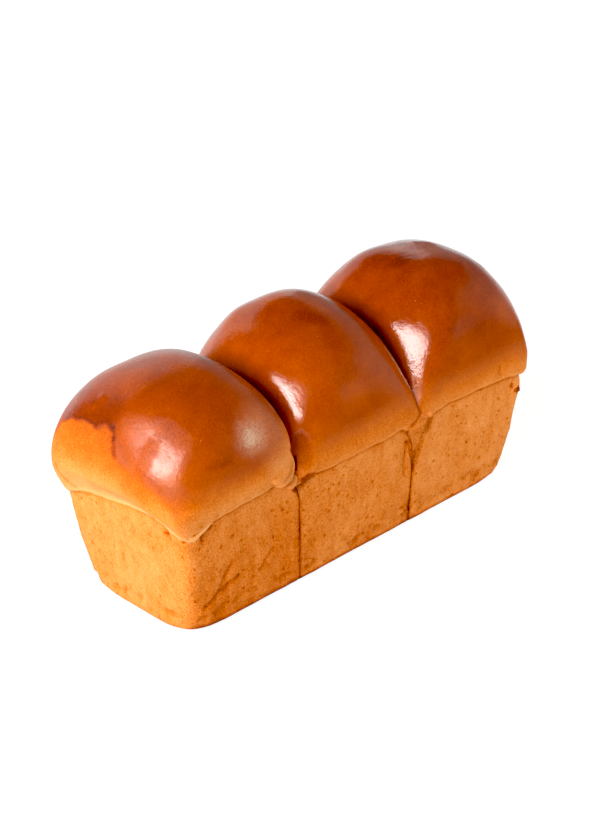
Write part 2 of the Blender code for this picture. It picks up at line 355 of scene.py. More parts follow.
# Along an end, from the front at -1 to the back at 1, where its edge is high and where it is crisp
HIGH_EDGE_BAND = (-1, 0.9, 1, 0.3)
CRISP_EDGE_BAND = (-0.35, 0.4, 1, 0.3)
GLAZE_NOISE = (0.012, 3)
GLAZE_WOBBLE = 0.003
SIDE_WOBBLE = 0.3
DARK_RIM = (0.0012, 0.0012)
DARK_RIM_BAKE = 0.03
# The course of that edge over the near end: places along Y and heights above the rim
NEAR_GLAZE_LINE = (
    (-0.0512, -0.0446, -0.0374, -0.0262, -0.0113, -0.0075, -0.0050, 0.0049, 0.0166, 0.0273, 0.0380, 0.0470),
    (0.0150, 0.0200, 0.0252, 0.0298, 0.0321, 0.0340, 0.0455, 0.0437, 0.0416, 0.0408, 0.0362, 0.0280),
)
NEAR_SOFT_EDGE = 0.0045
NEAR_SOFT_WOBBLE = 0.4
NEAR_CRISP_START = (-0.0120, 0.0040)
NEAR_CRISP_END = (1, -0.2)
# On the first ball's sides it rises towards the seam at the front, and towards the near end at the back
SEAM_GLAZE_RISE = 0.012
SEAM_GLAZE_START = (0.4, 0.6)
BACK_GLAZE_START = (-0.3, -0.7)

# How glossy the egg wash is on each ball, and how much of that its face to the front lacks below the crown,
# on the first ball less so towards the near end
GLOSS = (0.80, 1, 1)
MATT = (0.25, 0.10, 0.10)
MATT_CLIMB = (1, -0.5)
MATT_START = (-0.3, 0.8)
# The first ball's lip is rough and bare like the wall, in a band above the rim
ROUGH_LIP = 0.75
ROUGH_LIP_BAND = (0, 0.002, 0.012, 0.006)

MASKS = ("bake_and_shade", "glaze", "wall", "crease", "painted_reflection")
BASE_TOLERANCE = 1e-6
TINY = 1e-9


def smooth_step(t):
    t = np.clip(t, 0, 1)
    return t * t * (3 - 2 * t)


def ease(values, start, width):
    """0 up to the start and 1 from the width beyond it. A negative width runs the other way."""
    return smooth_step((values - start) / width)


def band(values, low, rise, high, fall):
    """1 within a band, and 0 outside it, smooth over the widths of its rise and its fall."""
    return ease(values, low, rise) * ease(values, high, -fall)


def hill(values, middle, width):
    """1 in the middle, and less and less away from it."""
    return np.exp(-(((values - middle) / width) ** 2))


def corner_power(radius, half_size):
    """The power of the superellipse whose corner is cut as deep as a circle of that radius cuts it."""
    cut = (1 - math.sqrt(0.5)) * np.clip(radius / half_size, *CORNER_LIMITS)
    return math.log(2) / -np.log1p(-cut)


def side_profile(ball):
    """The ball's profile up its side, level 1 to 2, and over its crown, level 2 to 3.

    The rows give level, height, inset of the base edge, share of the lip's overhang over a long wall and
    over an end wall, where it is softer, and the share of the plan size that is left as the dome closes.
    """
    wall_level = 1 + BASE_ROWS / ROWS
    rim_level = wall_level + WALL_ROWS / ROWS
    widest_level = rim_level + LIP_ROWS / ROWS
    widest = RIM_HEIGHT + ball["depth"]
    steps = np.linspace(0, 1, ARC_STEPS)
    rows = []
    for t in steps:
        turn = t * math.pi / 2
        height = BASE_EDGE_RADIUS * (1 - math.cos(turn))
        inset = BASE_EDGE_RADIUS * (1 - math.sin(turn))
        rows.append((1 + t * (wall_level - 1), height, inset, 0, 0, 1))
    rows.append((rim_level, RIM_HEIGHT, 0, 0, 0, 1))
    for t in steps[1:]:
        turn = t * math.pi / 2
        level = rim_level + t * (widest_level - rim_level)
        rise = 1 - math.cos(turn)
        rows.append((level, RIM_HEIGHT + ball["depth"] * rise, 0, math.sin(turn), smooth_step(rise), 1))
    foot = [(widest_level + t * (2 - widest_level), FOOT_ANGLE * t) for t in steps[1:]]
    crown = [(2 + t, FOOT_ANGLE + (math.pi / 2 - FOOT_ANGLE) * t) for t in steps[1:]]
    for level, turn in foot + crown:
        height = widest + (ball["top"] - ball["rise"] - widest) * math.sin(turn) ** (2 / ball["power"])
        share = max(math.cos(turn), 0) ** (2 / ball["power"])
        rows.append((level, height, 0, 1, 1, share))
    return np.array(rows).T


def cube_lattice(cells):
    """The points of a cube from -1 to 1 and its four-sided faces, with that many cells along X, Y and Z."""
    points, faces, start = [], [], 0
    for axis in range(3):
        one, two = (axis + 1) % 3, (axis + 2) % 3
        steps = np.meshgrid(np.arange(cells[one] + 1), np.arange(cells[two] + 1), indexing="ij")
        number = np.arange(steps[0].size).reshape(steps[0].shape)
        quads = np.stack([number[:-1, :-1], number[1:, :-1], number[1:, 1:], number[:-1, 1:]], axis=-1)
        quads = quads.reshape(-1, 4)
        for side in (0, cells[axis]):
            place = np.empty((number.size, 3), int)
            place[:, axis] = side
            place[:, one] = steps[0].ravel()
            place[:, two] = steps[1].ravel()
            points.append(place)
            faces.append((quads if side else quads[:, ::-1]) + start)
            start += number.size
    points, welded = np.unique(np.concatenate(points), axis=0, return_inverse=True)
    return points / np.array(cells) * 2 - 1, welded.reshape(-1)[np.concatenate(faces)].tolist()


def spaced(way):
    """Spaces the way from one corner to the next, from -1 to 1, closer at the corners."""
    return (1 - CORNER_BIAS) * way + CORNER_BIAS * np.sin(way * math.pi / 2)


def seam_shift(index, near, px, pz):
    """How far the seams' wandering moves points of ball number index along X."""
    shift = np.zeros(len(px))
    for seam, plane in enumerate(SEAMS):
        beside = near if index == seam + 1 else ~near
        if index not in (seam, seam + 1):
            continue
        heights, shifts = SEAM_WANDER[seam]
        closeness = smooth_step(1 - abs(px - plane) / WANDER_REACH)
        below = smooth_step(1 - (pz - heights[-1]) / WANDER_FADE)
        shift += np.where(beside, np.interp(pz, heights, shifts) * closeness * below, 0)
    return shift


def smooth_between(values, places, heights):
    """Like a broken line through the places and heights, but level at each of them."""
    row = np.clip(np.searchsorted(places, values) - 1, 0, len(places) - 2)
    places, heights = np.array(places), np.array(heights)
    way = (values - places[row]) / (places[row + 1] - places[row])
    return heights[row] + (heights[row + 1] - heights[row]) * smooth_step(way)


def rim_shift(index, u, v, facing_end, px, py):
    """How far the edge under a ball's lip runs above or below its even course."""
    level_points = np.column_stack([px, py, np.zeros(len(px))])
    shift = RIM_WAVE * noise_at(level_points, RIM_WAVE_SIZE, 2, 6.6)
    if index == 0:
        side = np.where(v < 0, smooth_between(u, *FRONT_RIM_SHIFT), smooth_between(u, *BACK_RIM_SHIFT))
        shift += side * (1 - facing_end) + np.where(u < 0, smooth_between(v, *END_RIM_SHIFT), 0) * facing_end
    return shift


def ball_points(cube, index):
    """Lays the points of a cube onto dough ball number index, and says where on the ball each one is.

    In that record, u and v run round the ball, from -1 to 1, and climb runs up its dome, from 0 to 1.
    """
    ball = BALLS[index]
    bounds = (-RIM_LENGTH / 2, *SEAMS, RIM_LENGTH / 2)
    low, high = bounds[index], bounds[index + 1]
    x, y, z = cube.T
    near, front = x < 0, y < 0
    at_seam = np.where(near, index > 0, index < len(BALLS) - 1)

    ring = np.maximum(abs(x), abs(y))
    u = spaced(x / np.maximum(ring, TINY))
    v = spaced(y / np.maximum(ring, TINY))

    # The way up the ball runs from the middle of the base, level 0, to the middle of the crown, level 3
    level = np.where(z < TINY - 1, ring, np.where(z > 1 - TINY, 3 - ring, 1.5 + z / 2))
    levels, *columns = side_profile(ball)
    height, inset, lip, end_lip, share = (np.interp(level, levels, column) for column in columns)
    facing_end = u**4 / np.maximum(u**4 + v**4, TINY)
    lip = lip + (end_lip - lip) * facing_end
    share = np.where(level < 1, level, share)
    above_base = np.clip(height / RIM_HEIGHT, 0, 1)
    widest = RIM_HEIGHT + ball["depth"]
    climb = np.clip((height - widest) / (ball["top"] - ball["rise"] - widest), 0, 1)

    flare = np.where(at_seam | near, 0, FAR_FLARE) * (1 - above_base)
    overlap = np.where(near, *ball["overlaps"])
    above_rim = (height - RIM_HEIGHT) / (ball["top"] - RIM_HEIGHT)
    seam_swell = WALL_OVERLAP + (overlap - WALL_OVERLAP) * smooth_step(above_rim / ball["swelling"])
    swell = np.where(at_seam, seam_swell, ball["end_lip"] * lip)
    half_x = (high - low) / 2 - flare + swell - np.where(at_seam, 0, inset)
    half_y = RIM_WIDTH / 2 - SIDE_FLARE * (1 - above_base) + ball["lip"] * lip - inset

    base_corner = np.where(near, NEAR_CORNER_RADIUS, FAR_CORNER_RADIUS)
    fade = np.clip(1 - height / CORNER_HEIGHT, 0, 1) ** CORNER_FADE
    near_front, near_back, far = RIM_CORNER_RADII
    rim_corner = np.where(near, np.where(front, near_front, near_back), far)
    tin_corner = rim_corner + (base_corner - rim_corner) * fade
    wall_corner = np.where(at_seam, SEAM_EDGE_RADIUS, tin_corner)
    lip_corner = np.where(front, np.where(near, *ball["corners"]), BACK_CORNER_RADIUS)
    corner = wall_corner + (lip_corner - wall_corner) * lip
    half_size = (half_x + half_y) / 2
    which = np.where(front, np.where(near, 0, 1), 2)
    roundness, fade = np.array(ball["roundness"])[which], np.array(ball["fade"])[which]
    corner = corner + (roundness * half_size - corner) * climb**fade
    power = corner_power(corner, half_size)

    reach = np.where(ring < TINY, 1, (abs(u) ** power + abs(v) ** power) ** (1 / power))
    lean_x, lean_y = ball["lean"]
    across = np.where(~near & (level > 1), share ** (ball["power"] / ball["far_power"]), share)
    px = (low + high) / 2 + half_x * across * u / reach + lean_x * climb
    py = half_y * share * v / reach + lean_y * climb
    # The rim falls towards the corners, level again at the corner itself
    steep = np.where(at_seam, SEAM_DROOP, CORNER_DROOP)
    droop = abs(u * v) ** steep * (1 + steep * (1 - abs(u * v)))
    droop = droop * (1 - climb) ** np.where(at_seam, SEAM_DROOP_FADE, CORNER_DROOP_FADE)
    pz = height + ball["rise"] * above_base * (1 - droop)
    pz = pz + rim_shift(index, u, v, facing_end, px, py) * hill(height, RIM_HEIGHT, RIM_SHIFT_REACH)
    px = px + seam_shift(index, near, px, pz)
    rise = height - RIM_HEIGHT
    end = np.where(at_seam, 0, facing_end)
    place = SimpleNamespace(u=u, v=v, rise=rise, climb=climb, near=near, front=front, end=end)
    place.end_face = end > 0.5
    place.front_face = front & (facing_end < 0.5)
    place.front_share = np.where(front, ease(end, *FRONT_FADE), 0)
    place.wall = smooth_step(1 - rise / WALL_FADE)
    return np.column_stack([px, py, pz]), place


def noise_at(points, size, octaves=1, shift=0.0):
    """Noise of that grain size at each point, from -1 to 1."""
    offset = Vector((shift, shift * 0.7, shift * 1.3))
    if octaves == 1:
        return np.array([noise.noise(Vector(point) / size + offset) for point in points])
    return np.array([noise.fractal(Vector(point) / size + offset, 0.8, 2, octaves) for point in points])


def noise_vectors(points, size):
    """A push for each point, whose X, Y and Z are noise of that grain size, read at three places."""
    offsets = [Vector(place) for place in UNEVEN_PLACES]
    return np.array([[noise.noise(Vector(point) / size + offset) for offset in offsets] for point in points])


def cells_at(points, size):
    """For each point, its distance from the middle of a random cell, in cells, and the cell's own number."""
    found = np.empty((len(points), 2))
    for row, point in zip(found, points):
        distances, middles = noise.voronoi(Vector(point) / size)
        row[:] = distances[0], noise.cell(middles[0] * 7.3)
    return found.T


def uneven(points):
    """A slow push of the surface, none at the base, so that the bread still stands flat."""
    push = noise_vectors(points, UNEVEN_SIZE) * UNEVEN_DEPTH
    return points + push * smooth_step(points[:, 2:] / RIM_HEIGHT)


def strand_distance(points, line):
    """The distance of points from a line of straight stretches, or from its one point."""
    line = np.array(line)
    if len(line) == 1:
        return np.linalg.norm(points - line[0], axis=1)
    nearest = np.full(len(points), np.inf)
    for start, end in zip(line[:-1], line[1:]):
        way = end - start
        share = np.clip((points - start) @ way / (way @ way), 0, 1)
        nearest = np.minimum(nearest, np.linalg.norm(points - start - share[:, None] * way, axis=1))
    return nearest


def new_mesh(name, points, faces):
    mesh = bpy.data.meshes.new(name)
    mesh.from_pydata(points.tolist(), [], faces)
    return mesh


def new_object(name, points, faces):
    obj = bpy.data.objects.new(name, new_mesh(name, points, faces))
    SCENE.collection.objects.link(obj)
    return obj


def mesh_normals(points, faces):
    mesh = new_mesh("normals", points, faces)
    normals = np.empty(len(points) * 3)
    mesh.vertex_normals.foreach_get("vector", normals)
    bpy.data.meshes.remove(mesh)
    return normals.reshape(-1, 3)


def glaze_share(index, place, points):
    """How glazed a ball's crust is, from 0 on bare dough to 1 under the egg wash, and the wash's dark rim."""
    u, v, y = place.u, place.v, points[:, 1]
    front, end_face = place.front, place.end_face
    front_edge = GLAZE_EDGES[index]
    high = band(v, *HIGH_EDGE_BAND)
    crisp = band(v, *CRISP_EDGE_BAND)
    wobble = noise_at(points, *GLAZE_NOISE) * GLAZE_WOBBLE * np.where(end_face, high, SIDE_WOBBLE)
    edge = front_edge + np.where(end_face, (END_GLAZE_EDGE - front_edge) * high, 0)
    blur = GLAZE_SOFTNESS
    if index == 0:
        edge = np.where(end_face, np.interp(y, *NEAR_GLAZE_LINE), edge)
        edge = edge + np.where(front & ~end_face, SEAM_GLAZE_RISE * ease(u, *SEAM_GLAZE_START), 0)
        back_rise = (NEAR_GLAZE_LINE[1][-1] - front_edge) * ease(u, *BACK_GLAZE_START)
        edge = edge + np.where(~front & ~end_face, back_rise, 0)
        crisp = ease(y, *NEAR_CRISP_START) * ease(v, *NEAR_CRISP_END)
        blur = np.where(end_face & (y < 0), NEAR_SOFT_EDGE, blur)
        wobble = wobble * np.where(end_face & (crisp < 1), NEAR_SOFT_WOBBLE, 1)
    softness = np.where(end_face, blur + (END_GLAZE_SOFTNESS - blur) * crisp, blur)
    above_edge = place.rise - edge + wobble
    glaze = smooth_step(above_edge / softness / 2 + 0.5)
    return glaze, np.where(end_face, crisp * hill(above_edge, *DARK_RIM), 0)


def ball_bake_and_shade(index, place, points, glaze, dark_rim):
    """How baked a ball's crust is, with painted shade under its lips and along its base and a painted
    highlight along the lips' edges, apart from its hollows and marks.
    """
    rise, climb, wall, end = place.rise, place.climb, place.wall, place.end
    front_share = place.front_share
    slow = noise_at(points, *SLOW_NOISE)
    end_bake = np.interp(rise + END_BAKE_WAVE * slow, *END_BAKES)
    end_bake = end_bake + CORNER_BAKE * ease(place.v, *CORNER_BAKE_SIDE) * ease(rise, *CORNER_BAKE_RISE)
    lip_bake = LIP_BAKES[index] + (end_bake - LIP_BAKES[index]) * end
    dome_bake = DOME_BAKES[index] + CROWN_BAKE * climb + DOME_UNEVENNESS * slow + DARK_RIM_BAKE * dark_rim
    if index == 0:
        towards_near = np.where(place.near, end, 0) * ease(points[:, 1], *NEAR_DOME_START)
        dome_bake = dome_bake + NEAR_DOME_BAKE * towards_near * ease(climb, *NEAR_DOME_CLIMB)
    wall_bake = WALL_BAKES[index] + (END_WALL_BAKE - WALL_BAKES[index]) * end + WALL_UNEVENNESS * slow
    bake_and_shade = lip_bake + (dome_bake - lip_bake) * glaze
    bake_and_shade = bake_and_shade + (wall_bake - bake_and_shade) * wall
    # Painted shadow on the wall under the lip, and the lip's paler edge, partly a painted highlight
    for (middle, width, tone, lack), part in zip(LIP_SHADES, (wall, 1 - wall)):
        bake_and_shade = bake_and_shade + tone * hill(rise, middle, width) * part * (1 - lack * end)
    if index == 0:
        first_wall = FIRST_WALL_DARKENING + FIRST_WALL_LOW_DARKENING * ease(rise, *FIRST_WALL_LOW)
        bake_and_shade = bake_and_shade + wall * front_share * first_wall
    # The darker base edge, partly a painted contact shadow, strongest along the front
    base_edge = ease(points[:, 2], *BASE_EDGE_HEIGHT) * np.maximum(front_share, BASE_EDGE_LEAST)
    return bake_and_shade + BASE_EDGE_BAKE_AND_SHADOW * base_edge


def noise_relief(points, noises):
    return sum(depth * noise_at(points, *grain) for depth, *grain in noises)


def ball_relief(index, place, points, gap):
    """The height of a ball's relief, how near a crease is, and how much darker its hollows are: the gouges by
    baking, the flap by painted shade.
    """
    x, y, z = points.T
    rise, wall, front_face = place.rise, place.wall, place.front_face
    relief = noise_relief(points, WALL_NOISES) * wall + noise_relief(points, DOME_NOISES) * (1 - wall)
    # The gaps to the next balls, the edge under the front lip and the creases set where shade is painted
    crease = np.minimum(gap, CREASE_REACH)
    crease = np.where(front_face, np.minimum(crease, abs(rise) + LIP_CREASE), crease)
    waver = CREASE_WAVER * noise_at(points, *CREASE_NOISE)
    near_face = place.near & place.end_face
    for lines, across, face in ((FRONT_CREASES, x, front_face), (END_CREASES, y, near_face)):
        for ball, half_width, depth, darkness, *line in lines:
            if ball != index:
                continue
            distance = strand_distance(np.column_stack([across, z]) / MM, line) + waver
            distance = np.where(face, distance, np.inf)
            relief = relief - MM * depth * hill(distance, 0, half_width)
            crease = np.minimum(crease, MM * (distance + CREASE_FAINTNESS * (1 - darkness)))
    sunk = 0
    if index == 2:
        inside = front_face & (z > FLAP_RANGE[0]) & (z < FLAP_RANGE[1])
        sunk = np.where(inside, smooth_step((np.interp(z, *FLAP_EDGE) - x) / FLAP_STEP), 0)
    distance, number = cells_at(points, BLISTER_CELL)
    blister = np.clip(1 - (distance / BLISTER_REACH) ** 2, 0, 1) * (number > BLISTER_GAPS)
    gouge = ease(abs(z - GOUGE_HEIGHT), GOUGE_REACH, -GOUGE_REACH) * wall
    gouge = gouge * smooth_step(noise_at(points * GOUGE_STRETCH, *GOUGE_NOISE) * GOUGE_CONTRAST)
    relief = relief + BLISTER_HEIGHTS[index] * band(rise, *BLISTER_BAND) * front_face * blister
    relief = relief - FLAP_DEPTH * sunk - GOUGE_DEPTH * gouge
    for *centre, radius, height in BUMPS:
        distance = np.linalg.norm(points / MM - centre, axis=1)
        relief = relief + MM * height * hill(distance, 0, radius)
    # The flap's recess gets painted shade, the gouges are baked darker
    return relief * smooth_step(z / BASE_CALM), crease, FLAP_PAINTED_SHADE * sunk + GOUGE_BAKE * gouge


def add_marks(points, bake_and_shade, glaze):
    """Adds the stains, drips, spots and painted shade to how baked and glazed the crust is, and gives the
    share of a painted reflection.
    """
    ragged = MARK_RAGGEDNESS * noise_at(points, *MARK_NOISE)
    painted_reflection = np.zeros(len(points))
    for radius, tone, glazed, painted_reflection_share, *line in MARKS:
        rough_edge = 1 + ragged * min(1, RAGGED_RADIUS / radius)
        near_line = smooth_step(MARK_EDGE - strand_distance(points / MM, line) / radius * rough_edge)
        bake_and_shade = bake_and_shade + tone * near_line
        glaze = np.clip(glaze + glazed * near_line, 0, 1)
        painted_reflection = painted_reflection + painted_reflection_share * near_line
    return bake_and_shade, glaze, painted_reflection


def ball_masks(index, place, points, gap):
    """The masks of a ball's points, and the height of its relief there."""
    wall, front_face = place.wall, place.front_face
    glaze, dark_rim = glaze_share(index, place, points)
    relief, crease, hollows_bake_and_shade = ball_relief(index, place, points, gap)
    bake_and_shade = ball_bake_and_shade(index, place, points, glaze, dark_rim) + hollows_bake_and_shade
    bake_and_shade, glaze, painted_reflection = add_marks(points, bake_and_shade, glaze)
    matt = front_face * ease(place.climb, *MATT_CLIMB) * MATT[index]
    if index == 0:
        matt = matt * ease(place.u, *MATT_START)
        wall = np.maximum(wall, ROUGH_LIP * band(place.rise, *ROUGH_LIP_BAND) * front_face)
    glaze = glaze * (1 - wall) * GLOSS[index] * (1 - matt)
    return {"bake_and_shade": bake_and_shade, "glaze": glaze, "wall": wall, "crease": crease, "painted_reflection": painted_reflection}, relief


def smooth_path(controls, radii, steps):
    """Points along a smooth curve through the control points, and the strand's radius at each."""
    ends = [2 * controls[0] - controls[1], *controls, 2 * controls[-1] - controls[-2]]
    points, sizes = [], []
    for t in np.linspace(0, len(controls) - 1, steps):
        i = min(int(t), len(controls) - 2)
        s = t - i
        a, b, c, d = ends[i:i + 4]
        curve = 2 * b + (c - a) * s + (2 * a - 5 * b + 4 * c - d) * s**2 + (3 * b - a - 3 * c + d) * s**3
        points.append(0.5 * curve)
        sizes.append(radii[i] + (radii[i + 1] - radii[i]) * smooth_step(s))
    return np.array(points), np.array(sizes)


def fold_mesh(strand):
    """A strand of dough with round ends, a little uneven."""
    path, sizes = smooth_path(strand[:, :3], strand[:, 3], FOLD_STEPS)
    ahead = np.gradient(path, axis=0)
    ahead /= np.linalg.norm(ahead, axis=1)[:, None]
    side = np.cross(ahead, FOLD_TURN)
    side /= np.linalg.norm(side, axis=1)[:, None]
    other = np.cross(ahead, side)
    share = np.linspace(0, 1, FOLD_STEPS)
    open_way = np.clip(1 - np.minimum(share, 1 - share) / FOLD_CLOSING, 0, 1)
    sizes = sizes * np.sqrt(np.clip(1 - open_way**2, FOLD_LEAST, 1))
    turns = np.linspace(0, 2 * math.pi, FOLD_SIDES, endpoint=False)
    around = np.cos(turns)[:, None] * side[:, None] + np.sin(turns)[:, None] * other[:, None]
    rings = path[:, None] + sizes[:, None, None] * around
    points = np.concatenate([rings.reshape(-1, 3), path[:1], path[-1:]])
    points = points + FOLD_NOISE_DEPTH * noise_vectors(points, FOLD_NOISE_SIZE)
    first, last = len(points) - 2, len(points) - 1
    faces = []
    for side_number in range(FOLD_SIDES):
        after = (side_number + 1) % FOLD_SIDES
        faces.append((first, after, side_number))
        for step in range(FOLD_STEPS - 1):
            low, high = step * FOLD_SIDES, (step + 1) * FOLD_SIDES
            faces.append((low + side_number, low + after, high + after, high + side_number))
        faces.append((last, high + side_number, high + after))
    return points, faces


def union(body, others):
    """Joins the other objects into body, and removes them."""
    together = bpy.data.collections.new("others")
    SCENE.collection.children.link(together)
    for other in others:
        SCENE.collection.objects.unlink(other)
        together.objects.link(other)
    join = body.modifiers.new("join", "BOOLEAN")
    join.operation = "UNION"
    join.operand_type = "COLLECTION"
    join.collection = together
    join.solver = "MANIFOLD"
    mesh = bpy.data.meshes.new_from_object(body.evaluated_get(bpy.context.evaluated_depsgraph_get()))
    body.modifiers.clear()
    body.data = mesh
    for other in others:
        bpy.data.objects.remove(other)
    bpy.data.collections.remove(together)


def flatten_base(mesh):
    """Puts one flat face in the place of the grid under the loaf."""
    grid = bmesh.new()
    grid.from_mesh(mesh)
    flat = [face for face in grid.faces if all(vert.co.z < BASE_TOLERANCE for vert in face.verts)]
    bmesh.ops.delete(grid, geom=flat, context="FACES")
    edges = [edge for edge in grid.edges if edge.is_boundary]
    bmesh.ops.holes_fill(grid, edges=edges, sides=0)
    grid.to_mesh(mesh)
    grid.free()


def build_loaf():
    """The loaf's mesh as an object, with a mask for each point."""
    cube, faces = cube_lattice((*CELLS, ROWS))
    laid = [ball_points(cube, index) for index in range(len(BALLS))]
    surfaces = [uneven(points) for points, _ in laid]
    trees = [BVHTree.FromPolygons(points.tolist(), faces) for points in surfaces]
    parts, all_points, all_masks = [], [], []
    for index, points in enumerate(surfaces):
        others = [trees[other] for other in (index - 1, index + 1) if 0 <= other < len(BALLS)]
        gap = np.array([min(tree.find_nearest(point, CREASE_REACH)[3] or CREASE_REACH for tree in others)
                        for point in points.tolist()])
        masks, relief = ball_masks(index, laid[index][1], points, gap)
        points = points + mesh_normals(points, faces) * relief[:, None]
        parts.append(new_object(f"ball_{index + 1}", points, faces))
        all_points.append(points)
        all_masks.append(np.column_stack([masks[name] for name in MASKS]))
    for name, (tone, *strand) in FOLDS.items():
        points, fold_faces = fold_mesh(MM * np.array(strand))
        parts.append(new_object(name, points, fold_faces))
        all_points.append(points)
        masks = {"bake_and_shade": tone, "glaze": FOLD_GLAZE, "wall": FOLD_WALL, "crease": CREASE_REACH, "painted_reflection": 0}
        all_masks.append(np.tile([masks[mask_name] for mask_name in MASKS], (len(points), 1)))
    loaf = parts[0]
    union(loaf, parts[1:])
    flatten_base(loaf.data)
    soften_folds(loaf.data, np.concatenate(all_points[len(BALLS):]))
    carry_masks(loaf.data, np.concatenate(all_points), np.concatenate(all_masks))
    loaf.name = loaf.data.name = "loaf_crust"
    return loaf


def point_tree(points):
    tree = KDTree(len(points))
    for number, point in enumerate(points):
        tree.insert(point, number)
    tree.balance()
    return tree


def soften_folds(mesh, fold_points):
    """Melts the folds and the crust around them into each other."""
    tree = point_tree(fold_points)
    points = np.empty(len(mesh.vertices) * 3)
    mesh.vertices.foreach_get("co", points)
    points = points.reshape(-1, 3)
    near = np.array([tree.find(point)[2] for point in points])
    weight = (SOFTENING * smooth_step(1 - near / SOFTENING_REACH))[:, None]
    ends = np.empty(len(mesh.edges) * 2, int)
    mesh.edges.foreach_get("vertices", ends)
    one, two = ends.reshape(-1, 2).T
    count = np.bincount(ends, minlength=len(points))[:, None]
    for _ in range(SOFTENING_STEPS):
        total = np.zeros_like(points)
        np.add.at(total, one, points[two])
        np.add.at(total, two, points[one])
        points = points + (total / count - points) * weight
    mesh.vertices.foreach_set("co", points.ravel())
    mesh.update()


def carry_masks(mesh, points, masks):
    """Gives each point of the mesh the masks of the nearest point that they were worked out for."""
    tree = point_tree(points)
    nearest = [tree.find(vert.co)[1] for vert in mesh.vertices]
    for column, name in enumerate(MASKS):
        layer = mesh.attributes.new(name, "FLOAT", "POINT")
        layer.data.foreach_set("value", masks[nearest, column].astype(np.float32))


def set_inputs(node, inputs):
    """Sets a node's inputs: to a number or a colour, or linked from a socket."""
    for key, value in inputs.items():
        if isinstance(value, bpy.types.NodeSocket):
            node.id_data.links.new(value, node.inputs[key])
        else:
            node.inputs[key].default_value = value


def add_node(tree, kind, inputs, **settings):
    made = tree.nodes.new(kind)
    for name, value in settings.items():
        setattr(made, name, value)
    set_inputs(made, inputs)
    return made


def calc(tree, operation, *values, clamp=False):
    made = add_node(tree, "ShaderNodeMath", dict(enumerate(values)), operation=operation, use_clamp=clamp)
    return made.outputs[0]


def mask(tree, name):
    return add_node(tree, "ShaderNodeAttribute", {}, attribute_name=name).outputs["Fac"]


def step_between(tree, value, low, high):
    """0 below low and 1 above high, smooth between; the other way round where high is the lower."""
    start, end = (0, 1) if low < high else (1, 0)
    inputs = {"Value": value, "From Min": min(low, high), "From Max": max(low, high)}
    inputs.update({"To Min": start, "To Max": end})
    return add_node(tree, "ShaderNodeMapRange", inputs, interpolation_type="SMOOTHSTEP").outputs["Result"]


def mix_colours(tree, share, one, other):
    # Input 0 of this node is the share, 6 and 7 are the two colours, and output 2 is the mixed colour
    return add_node(tree, "ShaderNodeMix", {0: share, 6: one, 7: other}, data_type="RGBA").outputs[2]


# The crust's colour from pale crumb to burnt
BAKE_COLOURS = (
    (0.00, (0.90, 0.44, 0.16)),
    (0.20, (0.86, 0.33, 0.090)),
    (0.40, (0.75, 0.225, 0.034)),
    (0.55, (0.62, 0.135, 0.004)),
    (0.70, (0.46, 0.078, 0.002)),
    (0.85, (0.31, 0.042, 0.002)),
    (1.00, (0.12, 0.014, 0.002)),
)
# The dark colour painted into creases and gaps as shade
PAINTED_CREASE_SHADE_COLOUR = (0.17, 0.020, 0.001, 1)
# The pale colour of a painted reflection on the first dome
PAINTED_REFLECTION_COLOUR = (0.62, 0.37, 0.235, 1)

# Noises in the crust: grain size, detail and roughness
CLOUDS = {
    "mottle": (0.009, 3, 0.55),
    "patches": (0.026, 3, 0.55),
    "grain": (0.0011, 4, 0.7),
    "peel": (0.0022, 2, 0.55),
    "fine": (0.0008, 2, 0.6),
    "skin": (0.0010, 3, 0.6),
    "crumb": (0.0030, 5, 0.72),
    "streaks": (0.0045, 3, 0.5),
}
STREAK_STRETCH = (1, 1, 0.4)
CRUMB_RANGE = (0.05, 0.22)

# Spots in the crust: size of their cells, which of a cell's random numbers says whether it has one and from
# what value on, and the spot's outer and inner radius
SPOTS = {
    "pit": (0.0034, 0, (0.74, 0.79), (0.33, 0.165)),
    "pinprick": (0.0017, 0, (0.80, 0.85), (0.34, 0.17)),
    "speck": (0.0034, 1, (0.80, 0.84), (0.12, 0.04)),
}
# A noise bends the pits and pinpricks out of round
BEND_NOISE = (0.0024, 2, 0.5)
BEND = (0.0020, 0.0020, 0.0020)

# How much each pattern bakes the crust, and for the creases how much painted shade they get: everywhere, and
# how much more on one part of it
PATTERN_BAKE_AND_SHADE = (
    ("mottle", 0.14),
    ("patches", 0.10, 0.20, "wall"),
    ("streaks", 0, 0.26, "wall"),
    ("grain", 0.08, 0.22, "bare"),
    ("fine", 0.28, 0.26, "bare"),
    ("pit", 0.17),
    ("pinprick", 0.12),
    ("crumb", 0.16),
    ("speck", -0.30),
    # Painted shade in the creases and the gaps between the balls
    ("crease", 0.03, 0.14, "bare"),
)
# How far each raises the crust, in metres, told in the same way
PATTERN_HEIGHTS = (
    ("grain", 0.00003, 0.00030, "wall"),
    ("skin", 0, 0.00006, "glaze"),
    ("pit", -0.00024),
    ("pinprick", -0.00010),
    ("crumb", -0.00020),
    ("peel", 0.00012, -0.00010, "wall"),
    ("speck", 0.00012),
)

# Creases and the gaps between the balls: how far the mottling moves them, and within what distances they get
# painted shade and a painted dark line of shade
CREASE_MOTTLE = 0.0012
CREASE_SHADE = (0.0024, 0)
CREASE_LINE = (0.0007, 0.0001)
CREASE_LINE_SHARE = 0.90
# How grainy the painted reflection on the first dome is
PAINTED_REFLECTION_GRAIN = 3.6

# Roughness of the egg wash, and how much rougher bare dough is
WASH_ROUGHNESS = 0.12
BARE_ROUGHNESS = 0.60
BARE_POWER = 0.8
MOTTLE_ROUGHNESS = 0.10
CRUST_IOR = 1.55
# How much bare dough mirrors, how much more the egg wash does, and what pits lack of that
BARE_SHEEN = 0.16
WASH_SHEEN = 0.34
WASH_RANGE = (0.22, 0.88)
PIT_SHEEN = -0.14


